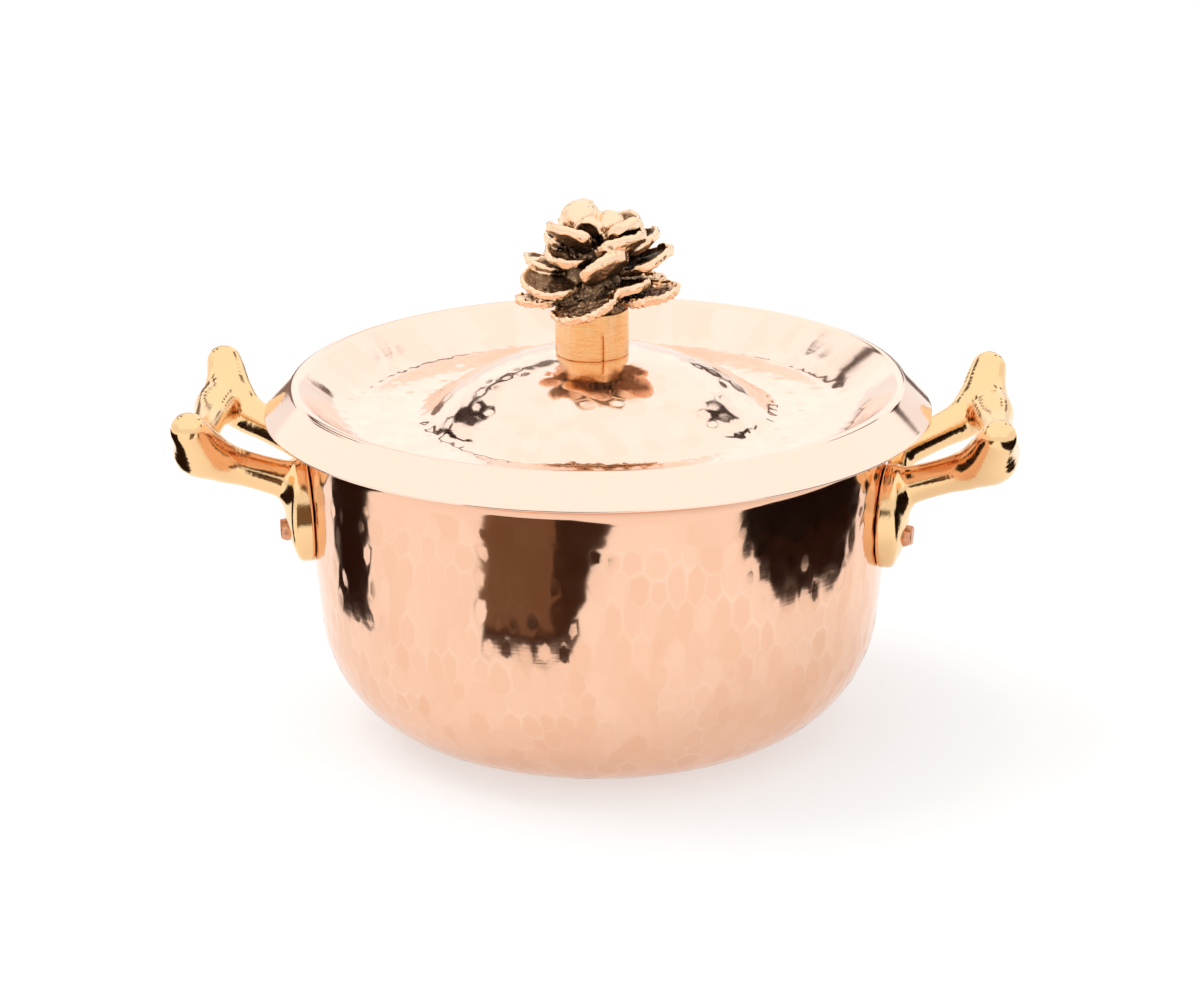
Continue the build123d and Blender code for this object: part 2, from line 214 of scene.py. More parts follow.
def lengths(path):
    """Distances along an outline."""
    steps = np.hypot(*np.diff(path[:, :2], axis=0).T)
    return np.concatenate([[0], np.cumsum(steps)])


def pot_outline():
    """The pot's outside from the middle of its base, and how far along it the lip's flare begins."""
    rise, edge = radians(LIP_RISE), POT_SHEET / 2
    lip_out = LIP_WIDTH - (edge + LIP_FLARE_RADIUS) * (1 - sin(rise))
    side = POT_HEIGHT - edge * cos(rise) - lip_out * tan(rise) - LIP_FLARE_RADIUS * cos(rise)
    lean = asin((side - KNEE_RADIUS) / (SIDE_BOW_RADIUS - KNEE_RADIUS))
    base = WALL_RADIUS - SIDE_BOW_RADIUS * (1 - cos(lean)) - KNEE_RADIUS * cos(lean)
    wall = [(None, base), (KNEE_RADIUS, 90 - degrees(lean)), (SIDE_BOW_RADIUS, degrees(lean))]
    flare = [(LIP_FLARE_RADIUS, LIP_RISE - 90), (None, lip_out / cos(rise))]
    begins = base + KNEE_RADIUS * (pi / 2 - lean) + SIDE_BOW_RADIUS * lean
    return outline((0, 0), wall + flare), begins


def lid_outline():
    """The lid's upper side from its middle, and how far along it the crest's rounding begins."""
    slope = radians(WELL_SLOPE)
    seat_turn = asin(SEAT_RADIUS / DOME_SPHERE)
    reach = DOME_SPHERE * cos(seat_turn) + DOME_FILLET - DOME_RISE
    end = acos(reach / (DOME_SPHERE + DOME_FILLET))
    crest = LID_RADIUS - FLANGE_WIDTH
    both = WELL_FILLET + CREST_ROUNDING
    climb = (WELL_DEPTH - both * (1 - cos(slope))) / sin(slope)
    run = both * sin(slope) + climb * cos(slope)
    dome = [
        (None, SEAT_RADIUS),
        (SEAT_ROUNDING, -degrees(seat_turn)),
        (DOME_SPHERE, degrees(seat_turn - end)),
        (DOME_FILLET, degrees(end)),
    ]
    foot = outline((0, 0), dome)[-1, 0]
    well = [(None, crest - run - foot), (WELL_FILLET, WELL_SLOPE), (None, climb)]
    inner = outline((0, 0), dome + well)
    over = outline((0, 0), dome + well + [(CREST_ROUNDING, -WELL_SLOPE - FLANGE_SLOPE)])
    flange = (LID_RADIUS - over[-1, 0]) / cos(radians(FLANGE_SLOPE))
    turned = [(CREST_ROUNDING, -WELL_SLOPE - FLANGE_SLOPE), (None, flange)]
    path = outline((0, 0), dome + well + turned)
    path[:, 1] += lid_edge_height() - path[-1, 1]
    return path, lengths(inner)[-1]


def lid_edge_height():
    """Height of the flange's outer edge where it rests on the pot's lip."""
    slope = radians(FLANGE_SLOPE)
    apart = POT_SHEET / 2 + LID_SEAT_GAP + LID_SHEET
    inset = (LID_RADIUS - (WALL_RADIUS + LIP_WIDTH - POT_SHEET / 2)) * sin(slope)
    return POT_HEIGHT + (apart - inset) / cos(slope)


class Sheet(NamedTuple):
    """A raised sheet with one hammered face."""

    path: np.ndarray  # of that face, from the middle out
    blows: tuple
    border: float  # how far along the path the plain part begins
    side: int  # 1 where the hammered face looks up, -1 where it looks down
    seed: int
    unevenness: float  # of the ridges


POT_PATH, POT_FLARE_AT = pot_outline()
LID_PATH, LID_CREST_AT = lid_outline()
POT = Sheet(POT_PATH, POT_BLOWS, POT_FLARE_AT, -1, 11, POT_UNEVENNESS)
LID = Sheet(LID_PATH, LID_BLOWS, LID_CREST_AT, 1, 5, LID_UNEVENNESS)
SEAT_HEIGHT = LID_PATH[0, 1]
KNOB_PLACE = np.array([KNOB_OFFSET, 0, SEAT_HEIGHT])


def ring(radius, angles, height):
    return np.stack([radius * np.cos(angles), radius * np.sin(angles), height + 0 * angles], -1)


def on_sheet(path, along, angle, offset=0.0):
    """Points on a sheet of revolution, at distances along its outline and angles round it."""
    at = lengths(path)
    radius, height, heading = (np.interp(along, at, path[:, k]) for k in range(3))
    return ring(radius - offset * np.sin(heading), angle, height + offset * np.cos(heading))


def section(path, along, offset=0.0):
    """Radius and height at distances along a sheet's outline."""
    return on_sheet(path, along, 0.0, offset)[:, [0, 2]]


# Planished sheets: every hammer blow leaves a flat facet, and the facets meet in ridges


def blows(sheet):
    """Blows in rings from the middle out to the border: distance along, angle, and each one's size.

    Each also has the rise of its ridges, which leaves its middle flat, and its dish.
    """
    random = np.random.default_rng(sheet.seed)
    places, widths, rows, dishes = np.array(sheet.blows).T[:4]
    at = lengths(sheet.path)
    found = [(0.0, 0.0, rows[0], widths[0])]
    along, last = 0.0, False
    while not last:
        row = np.interp(along, places, rows)
        along += row
        last = along + row > sheet.border
        if last:
            row = sheet.border - (along - row)
            along = sheet.border - row / 2
        width = np.interp(along, places, widths)
        count = round(2 * pi * np.interp(along, at, sheet.path[:, 0]) / width)
        turn = random.uniform(0, 2 * pi)
        for k in range(count):
            angle = turn + (k + random.uniform(-BLOW_SCATTER, BLOW_SCATTER)) * 2 * pi / count
            shift = 0 if last else random.uniform(-BLOW_SCATTER, BLOW_SCATTER) * row
            found.append((along + shift, angle, row, width))
    found = np.array(found)
    radius, heading = (np.interp(found[:, 0], at, sheet.path[:, column]) for column in (0, 2))
    bend = np.gradient(sheet.path[:, 2], at) * -sheet.side
    curve = np.interp(np.minimum(found[:, 0], sheet.border - STEADY_ROWS * rows[-1]), at, bend)
    around = -sheet.side * np.sin(heading) / np.maximum(radius, LEAST_RADIUS)
    rise = (found[:, 3] ** 2 * around + found[:, 2] ** 2 * curve) / 8
    return found, np.clip(rise, 0, HIGHEST_RIDGE), np.interp(found[:, 0], places, dishes)


def chart_radius(sheet):
    """Radii of a flat chart in which the blows' cells are about as wide as they are tall."""
    places, widths, rows = np.array(sheet.blows).T[:3]
    fine = np.linspace(1.0, sheet.border * 1.1, 2000)
    radius = np.interp(fine, lengths(sheet.path), sheet.path[:, 0])
    rate = np.interp(fine, places, widths) / np.interp(fine, places, rows) / radius
    steps = np.concatenate([[0], np.cumsum((rate[1:] + rate[:-1]) / 2 * np.diff(fine))])
    return np.concatenate([[0], fine]), np.concatenate([[0], np.exp(steps - steps[-1])])


FOOT = 0.0  # marks the foot of a facet's ridge in the ridge attribute, which is 1 on the ridge
MIDDLE = -1.0  # marks the outline of its middle there


def planishing_tree():
    """Turns the net between hammer blows into facets that meet in rounded ridges."""
    tree = bpy.data.node_groups.new("Planished facets", "GeometryNodeTree")
    for name, kind in (
        ("Blows", "Geometry"),
        ("Smooth sheet", "Object"),
        ("Ridge unevenness", "Float"),
        ("Facet inset", "Float"),
        ("Seed", "Int"),
        ("Material", "Material"),
    ):
        tree.interface.new_socket(name, in_out="INPUT", socket_type="NodeSocket" + kind)
    tree.interface.new_socket("Facets", in_out="OUTPUT", socket_type="NodeSocketGeometry")
    given = add(tree, "NodeGroupInput").outputs
    sheet = add(tree, "GeometryNodeObjectInfo", {"Object": given["Smooth sheet"]}).outputs["Geometry"]
    cells = add(tree, "GeometryNodeDualMesh", {"Mesh": given["Blows"]})
    nearest = add(tree, "GeometryNodeProximity", {0: sheet}, target_element="FACES")
    inputs = {"Mesh": sheet, "Value": add(tree, "GeometryNodeInputNormal")}
    out = add(tree, "GeometryNodeSampleNearestSurface", inputs, data_type="FLOAT_VECTOR")
    rise = add(tree, "GeometryNodeInputNamedAttribute", {"Name": "rise"}, data_type="FLOAT")
    dish = add(tree, "GeometryNodeInputNamedAttribute", {"Name": "dish"}, data_type="FLOAT")
    unevenness = given["Ridge unevenness"]
    low = add(tree, "ShaderNodeMath", {0: unevenness, 1: -1.0}, operation="MULTIPLY")
    inputs = {2: low, 3: unevenness, "Seed": given["Seed"]}
    uneven = add(tree, "FunctionNodeRandomValue", inputs, data_type="FLOAT")
    height = add(tree, "ShaderNodeMath", {0: rise, 1: uneven}, operation="ADD")
    lift = add(tree, "ShaderNodeVectorMath", {0: out, "Scale": height}, operation="SCALE")
    made = add(tree, "GeometryNodeSetPosition", {"Geometry": cells, "Position": nearest, "Offset": lift})
    inputs = {2: 0.0, 3: 1.0, "Seed": given["Seed"]}
    tone = add(tree, "FunctionNodeRandomValue", inputs, data_type="FLOAT")
    for label, value, domain in (("ridge", 1.0, "POINT"), ("tone", tone, "FACE")):
        inputs = {"Geometry": made, "Name": label, "Value": value}
        made = add(tree, "GeometryNodeStoreNamedAttribute", inputs, data_type="FLOAT", domain=domain)
    top = {}
    for share, inset, mark in (
        (BEVEL_DEPTH, given["Facet inset"], FOOT),
        (1 - BEVEL_DEPTH, MIDDLE_INSET, MIDDLE),
    ):
        depth = add(tree, "ShaderNodeMath", {0: dish, 1: -share}, operation="MULTIPLY")
        inputs = {"Mesh": made, "Offset Scale": depth, "Individual": True, **top}
        grown = add(tree, "GeometryNodeExtrudeMesh", inputs)
        top = {"Selection": grown.outputs["Top"]}
        made = add(tree, "GeometryNodeScaleElements", {"Geometry": grown, "Scale": inset, **top})
        inputs = {"Geometry": made, "Name": "ridge", "Value": mark, **top}
        made = add(tree, "GeometryNodeStoreNamedAttribute", inputs, data_type="FLOAT", domain="POINT")
    made = add(tree, "GeometryNodeSetShadeSmooth", {"Geometry": made})
    made = add(tree, "GeometryNodeRealizeInstances", {"Geometry": made})
    made = add(tree, "GeometryNodeSetMaterial", {"Geometry": made, "Material": given["Material"]})
    add(tree, "NodeGroupOutput", {0: made})
    return tree


def ring_net(rows, angles):
    """Points of rings, one ring for each radius and height, and quads between them."""
    count = len(angles)
    points = np.concatenate([ring(radius, angles, height) for radius, height in rows])
    faces = []
    for row in range(len(rows) - 1):
        a = row * count
        for k in range(count):
            n = (k + 1) % count
            faces.append((a + k, a + k + count, a + n + count, a + n))
    return points, faces


def facing(faces, side):
    """Faces that look up where the side is 1, turned over where it is -1."""
    return list(faces) if side > 0 else [face[::-1] for face in faces]


def smooth_sheet(name, sheet):
    """A smooth turned sheet that the hammered one is laid over; it isn't part of the scene."""
    along = np.linspace(0.5, sheet.border + 2, int(sheet.border / 1.2))
    points, faces = ring_net(section(sheet.path, along), np.linspace(0, 2 * pi, 257)[:-1])
    mesh = bpy.data.meshes.new(name)
    mesh.from_pydata((points * MM).tolist(), [], facing(faces, sheet.side))
    mesh.shade_smooth()
    return link(name, mesh)


def net_of_blows(name, sheet):
    """Triangles between the blows, with a ring of mirrored ones beyond the border."""
    found, rise, dish = blows(sheet)
    along, chart = chart_radius(sheet)
    flat = np.interp(found[:, 0], along, chart)
    last = found[:, 0] >= found[:, 0].max() - 1e-6
    mirror = 1.0 / flat[last].max()
    seeds = np.concatenate([ring(flat, found[:, 1], 0), ring(mirror, found[last, 1], 0)])
    net = delaunay_2d_cdt([Vector(point[:2]) for point in seeds], [], [], 0, 1e-9, False)
    charted = np.array([tuple(point) for point in net[0]])
    source = np.array([first[0] if first else -1 for first in net[3]], int)
    source = np.where(source < len(found), source, -1)
    reach = np.interp(np.hypot(*charted.T), chart, along)
    points = on_sheet(sheet.path, reach, np.arctan2(charted[:, 1], charted[:, 0]))
    mesh = bpy.data.meshes.new(name)
    mesh.from_pydata((points * MM).tolist(), [], facing([tuple(face) for face in net[2]], sheet.side))
    for label, values in (("rise", rise), ("dish", dish)):
        data = mesh.attributes.new(label, "FLOAT", "POINT").data
        data.foreach_set("value", np.where(source >= 0, values[source], values[-1]) * MM)
    return link(name, mesh)


def planished(name, sheet, tree, material):
    """A hammered sheet from its middle to its border, as read_facets gives it."""
    net = net_of_blows(name, sheet)
    form = smooth_sheet(name + "_form", sheet)
    modifier = net.modifiers.new("Planishing", "NODES")
    modifier.node_group = tree
    values = {
        "Smooth sheet": form,
        "Ridge unevenness": sheet.unevenness * MM,
        "Facet inset": RIDGE_INSET,
        "Seed": sheet.seed,
        "Material": material,
    }
    for item in tree.interface.items_tree:
        if item.in_out == "INPUT" and item.name in values:
            modifier[item.identifier] = values[item.name]
    bpy.context.view_layer.update()
    evaluated = net.evaluated_get(bpy.context.evaluated_depsgraph_get())
    made = read_facets(bpy.data.meshes.new_from_object(evaluated), sheet)
    for helper in (net, form):
        bpy.data.objects.remove(helper)
    return made


def tilted(points, faces, ridge, seed):
    """Each facet turned a little, as its blow fell; the ridges between them stay."""
    random = np.random.default_rng(seed)
    owner = np.full(len(points), -1)
    middles = [face for face in faces if ridge[list(face)].max() == MIDDLE]
    for k, face in enumerate(middles):
        owner[list(face)] = k
    for face in faces:
        at = np.array(face)
        inside = at[ridge[at] == MIDDLE]
        if 0 < len(inside) < len(at):
            owner[at[ridge[at] == 0]] = owner[inside[0]]
    centres = np.array([points[list(face)].mean(0) for face in middles])
    normals = np.array(
        [np.cross(points[f[2]] - points[f[0]], points[f[-1]] - points[f[1]]) for f in middles]
    )
    normals /= length(normals)[:, None]
    lean = random.normal(0, radians(FACET_TILT), (len(middles), 3))
    moved = owner >= 0
    k = owner[moved]
    reach = ((points[moved] - centres[k]) * lean[k]).sum(-1)
    points[moved] += normals[k] * reach[:, None]
    return points


def settled(points, sheet):
    """The relief that each point keeps: less where the blows' table says so, and none at the border.

    The outer corners of the last facets lie past the border, so the last stretch is drawn in.
    """
    border = sheet.border
    fine = np.linspace(0, border + 3, int(border * 4))
    form = section(sheet.path, fine)
    radius = np.hypot(points[:, 0], points[:, 1])
    along = np.empty(len(points))
    batch = 4000
    for first in range(0, len(points), batch):
        here = np.stack([radius, points[:, 2]], -1)[first : first + batch]
        along[first : first + batch] = fine[length(here[:, None] - form[None]).argmin(1)]
    outward = radius - np.interp(along, fine, form[:, 0])
    upward = points[:, 2] - np.interp(along, fine, form[:, 1])
    stays, ends = border - DRAWN_IN, border - PLAIN_RIM
    drawn = np.interp(along, [0, stays, border + CORNERS_PAST], [0, stays, ends])
    places, kept = np.array(sheet.blows).T[[0, 4]]
    share = np.interp(drawn, places, kept) * np.clip((ends - drawn) / RELIEF_FADE, 0, 1)
    reach = np.interp(drawn, fine, form[:, 0]) + outward * share
    height = np.interp(drawn, fine, form[:, 1]) + upward * share
    return ring(reach, np.arctan2(points[:, 1], points[:, 0]), height), share


def boundary(faces):
    """The open edge of a sheet, as one loop of points in order."""
    after = {}
    for face in faces:
        for a, b in zip(face, face[1:] + face[:1]):
            after.setdefault(a, set()).add(b)
    step = {a: b for a in after for b in after[a] if a not in after[b]}
    loop = [min(step)]
    while step[loop[-1]] != loop[0]:
        loop.append(step[loop[-1]])
    return loop


def read_numbers(data, label, count):
    values = np.empty(count)
    data.foreach_get(label, values)
    return values


def read_facets(mesh, sheet):
    """Points, faces, ridge and tone of each point, and the border's angles.

    The points of the border come first, evenly spaced and in order round it.
    """
    points = read_numbers(mesh.vertices, "co", len(mesh.vertices) * 3).reshape(-1, 3) / MM
    faces = [tuple(face.vertices) for face in mesh.polygons]
    ridge = read_numbers(mesh.attributes["ridge"].data, "value", len(points))
    tone = np.zeros(len(points))
    for face, value in zip(faces, read_numbers(mesh.attributes["tone"].data, "value", len(faces))):
        tone[list(face)] = value
    points = tilted(points, faces, ridge, sheet.seed)
    points, share = settled(points, sheet)
    ridge = np.maximum(ridge, 0) * share
    rim = boundary(faces)
    first, second = (np.arctan2(points[p, 1], points[p, 0]) for p in rim[:2])
    if (second - first) % (2 * pi) > pi:
        rim = rim[::-1]
    turned = np.unwrap(np.arctan2(points[rim, 1], points[rim, 0]))
    even = np.arange(len(rim)) * 2 * pi / len(rim)
    angles = even + np.mean(turned - even)
    points[rim] = on_sheet(sheet.path, sheet.border - PLAIN_RIM, angles)
    order = np.concatenate([rim, np.setdiff1d(np.arange(len(points)), rim)]).astype(int)
    place = np.empty(len(points), int)
    place[order] = np.arange(len(points))
    faces = [tuple(int(place[p]) for p in face) for face in faces]
    return points[order], faces, ridge[order], tone[order], angles


def edge_rows(sheet, thickness, steps):
    """Rows round a sheet's rounded outer edge, from its hammered face to its back."""
    end, heading = sheet.path[-1, :2], sheet.path[-1, 2]
    ahead = np.array([cos(heading), sin(heading)])
    back = np.array([sin(heading), -cos(heading)]) * sheet.side
    turns = np.radians(np.linspace(-90, 90, steps + 1)[1:])
    return [end + thickness / 2 * (back * (1 + sin(turn)) + ahead * cos(turn)) for turn in turns]


def raised_sheet(name, sheet, thickness, plain, edge_steps, inner, tree, material, body, node):
    """A sheet hammered to its border, then plain, round its edge and back to the axis."""
    points, faces, ridge, tone, angles = planished(name + "_facets", sheet, tree, material)
    points[:, 2] = np.maximum(points[:, 2], 0)
    count = len(angles)
    back = np.linspace(plain[-1], inner, 60)[1:]
    rows = [
        *section(sheet.path, plain),
        *edge_rows(sheet, thickness, edge_steps),
        *section(sheet.path, back, -sheet.side * thickness),
    ]
    ring_points, ring_faces = ring_net([(0, 0)] + rows, angles)
    shift = len(points) - count
    rings = [tuple(p if p < count else p + shift for p in face) for face in ring_faces]
    last = UP * (sheet.path[0, 1] - sheet.side * thickness)
    points = np.concatenate([points, ring_points[count:], [last]])
    pole = len(points) - 1
    start = pole - count
    rings += [(start + k, pole, start + (k + 1) % count) for k in range(count)]
    faces = list(faces) + facing(rings, sheet.side)
    extra = len(points) - len(ridge)
    made = piece(name, points, faces, material, body, node)
    store(made, "ridge", np.concatenate([ridge, np.zeros(extra)]))
    store(made, "tone", np.concatenate([tone, np.full(extra, 0.5)]))


# Castings, as distance fields in millimetres


def length(vectors):
    return np.sqrt((vectors**2).sum(-1))


def blend(a, b, reach):
    """The union of two fields with a fillet."""
    h = np.clip(0.5 + 0.5 * (b - a) / reach, 0, 1)
    return b + (a - b) * h - reach * h * (1 - h)


def carve(a, b, reach):
    """What the two fields share, with a rounded edge."""
    return -blend(-a, -b, reach)


def rod(points, a, b, start, end):
    """A round bar from a to b, with a radius for each end."""
    way = b - a
    share = np.clip((points - a) @ way / (way @ way), 0, 1)
    return length(points - a - share[..., None] * way) - (start + (end - start) * share)


LINE_STEPS = 5  # from one station of a bar to the next


def smooth_line(stations):
    """More stations on a smooth curve through the given ones (x, y, z, radius)."""
    stations = np.array(stations, float)
    before = np.concatenate([[2 * stations[0] - stations[1]], stations[:-1]])
    after = np.concatenate([stations[1:], [2 * stations[-1] - stations[-2]]])
    slope = (after - before) / 2
    rows = []
    for k in range(len(stations) - 1):
        for t in np.linspace(0, 1, LINE_STEPS + 1)[:-1]:
            rows.append(
                (2 * t**3 - 3 * t**2 + 1) * stations[k]
                + (t**3 - 2 * t**2 + t) * slope[k]
                + (3 * t**2 - 2 * t**3) * stations[k + 1]
                + (t**3 - t**2) * slope[k + 1]
            )
    return np.array(rows + [stations[-1]])


def chain(points, stations):
    """Rods from each station to the next."""
    rods = [rod(points, a[:3], b[:3], a[3], b[3]) for a, b in zip(stations[:-1], stations[1:])]
    return np.minimum.reduce(rods)


def grid(low, high, pitch):
    axes = [np.arange(a, b + pitch, pitch) for a, b in zip(low, high)]
    return np.stack(np.meshgrid(*axes, indexing="ij"), -1)


def surface(field, low, pitch):
    """Points and quads over the zero level of a sampled field, one point in each cell it crosses."""
    inside = field < 0
    shape = np.array(field.shape) - 1
    corners = np.array([(i, j, k) for i in (0, 1) for j in (0, 1) for k in (0, 1)])
    seen = [inside[tuple(slice(c, c + n) for c, n in zip(corner, shape))] for corner in corners]
    crossed = np.any(seen, axis=0) & ~np.all(seen, axis=0)
    cells = np.argwhere(crossed)
    place = np.full(tuple(shape), -1)
    place[crossed] = np.arange(len(cells))
    total, count = np.zeros((len(cells), 3)), np.zeros((len(cells), 1))
    steps = np.eye(3, dtype=int)
    for axis in range(3):
        for corner in corners[corners[:, axis] == 0]:
            a = field[tuple((cells + corner).T)]
            b = field[tuple((cells + corner + steps[axis]).T)]
            cross = (a < 0) != (b < 0)
            share = np.where(cross, a / np.where(cross, a - b, 1), 0)
            total += cross[:, None] * (corner + share[:, None] * steps[axis])
            count += cross[:, None]
    quads = []
    for axis in range(3):
        u, v = steps[(axis + 1) % 3], steps[(axis + 2) % 3]
        within = inside[tuple(slice(0, n - s) for n, s in zip(inside.shape, steps[axis]))]
        for edges, order in ((np.argwhere(within), 1), (np.argwhere(~within), -1)):
            edges = edges[inside[tuple((edges + steps[axis]).T)] != (order > 0)]
            around = [edges - u - v, edges - v, edges, edges - u][::order]
            quads.append(np.stack([place[tuple(cell.T)] for cell in around], -1))
    return low + pitch * (cells + total / count), np.concatenate(quads)


def ripple(points, wavelength, seed):
    """A gentle unevenness of about one unit, made of waves in many directions."""
    random = np.random.default_rng(seed)
    total = np.zeros(points.shape[:-1])
    for k in range(9):
        way = random.normal(size=3)
        way *= 2 * pi / (length(way) * wavelength * random.uniform(0.75, 1.4))
        total += np.sin(points @ way + random.uniform(0, 2 * pi))
    return total / 3


def slope_of(points, field, more):
    steps = np.eye(3) * 0.05
    return np.stack([field(points + step, *more) - field(points - step, *more) for step in steps], -1) / 0.1


def casting_mesh(field, low, high, pitch, *more):
    """Points on a field's zero level, quads, the field's samples, and its outward directions there."""
    values = np.stack([field(layer, *more) for layer in grid(low, high, pitch)])
    points, quads = surface(values, np.array(low), pitch)
    for turn in range(3):
        slope = slope_of(points, field, more)
        size = np.maximum((slope**2).sum(-1), 0.2)
        points = points - np.clip(field(points, *more) / size, -0.4, 0.4)[:, None] * slope
    slope = slope_of(points, field, more)
    return points, quads, values, slope / np.sqrt(np.maximum((slope**2).sum(-1), 0.2))[:, None]


# Handles

PAD_SPREAD = 11.8
PAD_WIDTH = 29.0
PAD_HEIGHT = 44.0
PAD_DROP = 38.5
PAD_CROWN = 10.8
PAD_RIM = 4.4
ARM_ROOT_DROP = 26.0
ARM = (
    (1.5, 0.0, -1.0, 9.8),
    (8.0, 1.2, 1.6, 7.9),
    (21.5, 5.6, 7.0, 7.4),
    (32.0, 9.6, 11.6, 8.6),
    (39.0, 15.0, 18.0, 10.0),
    (41.5, 21.5, 26.0, 8.4),
)
HORN_TIP_RADIUS = 7.6
HORN_TIP_RISE = 4.5
HORN_FOOT_SPREAD = 12.4
HORNS_REACH = 175.03  # the farthest that the handle comes from the axis
CROSSBAR = (
    (41.5, 1.0, 16.5, 9.6),
    (43.5, 0.74, 16.2, 9.2),
    (44.2, 0.38, 15.2, 7.4),
    (44.0, 0.0, 14.8, 6.8),
)
RIVET_DROP = 46.5
RIVET_HEAD_RADIUS = 4.6
RIVET_SUNK = 0.2  # of the outer end's middle, below the pad's crown
RIVET_SHANK_RADIUS = 3.5
RIVET_INNER_HEAD = ((7.0, 0.02), (7.0, 0.9), (6.4, 1.6), (4.5, 1.95), (1.5, 2.0))  # radius, depth


def wall_at(drop):
    """Outside radius of the pot's wall, that far below its rim."""
    height = POT_HEIGHT - drop
    bow_end = POT_PATH[np.argmin(np.abs(lengths(POT_PATH) - POT_FLARE_AT)), 1]
    below = np.maximum(bow_end - height, 0)
    return WALL_RADIUS - SIDE_BOW_RADIUS + np.sqrt(SIDE_BOW_RADIUS**2 - below**2)


def pad_axes(side, drop):
    """A point on the wall at one pad, and the ways out of the pot and sideways there."""
    way = radians(side * PAD_SPREAD)
    out, across = np.array([cos(way), sin(way), 0]), np.array([-sin(way), cos(way), 0])
    return out * wall_at(drop) + np.array([0, 0, POT_HEIGHT - drop]), out, across


def pad_field(points, side):
    """An oval pad with a crowned face."""
    centre, out, across = pad_axes(side, PAD_DROP)
    fall = PAD_CROWN - PAD_RIM
    ball = ((PAD_HEIGHT / 2) ** 2 + fall**2) / (2 * fall)
    front = length(points - centre - out * (PAD_CROWN - ball)) - ball
    u, v = (points - centre) @ across / (PAD_WIDTH / 2), (points - centre)[..., 2] / (PAD_HEIGHT / 2)
    oval = np.sqrt(u**2 + v**2)
    slope = np.sqrt((u / (PAD_WIDTH / 2)) ** 2 + (v / (PAD_HEIGHT / 2)) ** 2) / np.maximum(oval, 1e-6)
    edge = (oval - 1) / np.maximum(slope, 1e-6)
    return carve(front, edge, 1.6)


def handle_field(points):
    """The right handle."""
    root = wall_at(ARM_ROOT_DROP)
    lateral = root * sin(radians(PAD_SPREAD))
    foot = POT_HEIGHT - ARM_ROOT_DROP
    mirrored = points * np.array([1, 0, 1]) + np.abs(points * np.array([0, 1, 0]))
    arm = [(root + o, lateral + a, foot + u, r) for o, a, u, r in ARM]
    last, before = np.array(arm[-1]), np.array(arm[-2])
    way = (last - before)[:3] / length((last - before)[:3])
    arm.append((*(last[:3] + way * HORN_TIP_RISE), HORN_TIP_RADIUS))
    reach = lateral + HORN_FOOT_SPREAD
    half = [(root + o, share * reach, foot + u, r) for o, share, u, r in CROSSBAR]
    x, y, z, radius = half[-2]
    bar = smooth_line(half + [(x, -y, z, radius)])[: LINE_STEPS * (len(half) - 1) + 2]
    field = blend(chain(mirrored, smooth_line(arm)), chain(mirrored, bar), 4.0)
    field = blend(field, pad_field(mirrored, 1), 4.5)
    wall = wall_at(POT_HEIGHT - points[..., 2]) - np.hypot(points[..., 0], points[..., 1])
    return carve(field, wall + 0.15, 1.4)


def make_handles(material):
    pitch = 0.8
    points, quads = casting_mesh(handle_field, (115, -60, 71), (188, 60, 157), pitch)[:2]
    points[:, 0] = np.minimum(points[:, 0], HORNS_REACH)
    for name, turn in (("right_handle", 1), ("left_handle", -1)):
        turned = points * np.array([turn, turn, 1])
        piece(name + "_casting", turned, quads.tolist(), material, "pot", name)


def rivet_planes(random):
    """The flats that blows left on a rivet's outer end: each one's direction and distance."""
    planes = []
    for k in range(16):
        way = random.normal(size=3)
        way /= length(way)
        planes.append((way, RIVET_HEAD_RADIUS * random.uniform(0.8, 1.02)))
    planes.append((UP, 2.4 + random.uniform(-0.2, 0.4)))
    for k in range(9):
        angle = 2 * pi * k / 9 + random.uniform(-0.2, 0.2)
        planes.append((np.array([cos(angle), sin(angle), 0.1]), RIVET_HEAD_RADIUS * 0.98))
    return planes


def rivet_field(points, planes):
    """A peened rivet end: a rounded block with its corners knocked off at random."""
    field = np.full(points.shape[:-1], -1e3)
    for normal, reach in planes:
        field = carve(field, points @ normal - reach, 0.5)
    return field


def rivet_inside(side):
    """The flat head inside the pot and the shank up to it; a small hole is left in its middle."""
    centre, out, across = pad_axes(side, RIVET_DROP)
    profile = [(RIVET_SHANK_RADIUS, 1.0), (RIVET_SHANK_RADIUS, -POT_SHEET)]
    profile += [(radius, -POT_SHEET - depth) for radius, depth in RIVET_INNER_HEAD]
    rings, faces = ring_net(profile, np.linspace(0, 2 * pi, 49)[:-1])
    rings[:, 2] -= rings[:, 0] ** 2 / (2 * WALL_RADIUS)
    return rings @ np.stack([across, UP, out]) + centre, facing(faces, -1)


def make_rivets(material):
    for name, turn in (("right_handle_rivets", 1), ("left_handle_rivets", -1)):
        points, faces = np.empty((0, 3)), []
        for side in (-1, 1):
            centre, out, across = pad_axes(side, RIVET_DROP)
            planes = rivet_planes(np.random.default_rng(20 + side * 3 + turn))
            end, quads = casting_mesh(rivet_field, (-6, -6, -6), (6, 6, 6), 0.3, planes)[:2]
            end = end @ np.stack([across, UP, out]) + centre + out * (PAD_CROWN - RIVET_SUNK)
            for part, part_faces in ((end, quads), rivet_inside(side)):
                faces += (np.array(part_faces) + len(points)).tolist()
                points = np.concatenate([points, part * np.array([turn, turn, 1])])
        piece(name + "_peened", points, faces, material, "pot", name)


# Flower

PETAL_THICKNESS = 2.2
PETAL_ROOT_RADIUS = 7.0
CORE_WAIST_RADIUS = 12.5
CORE_WAIST_HEIGHT = 33.0
THROAT_RADIUS = 8.0
CORE_HEIGHT = 56.0
FLOWER_SHIFT = 2.3
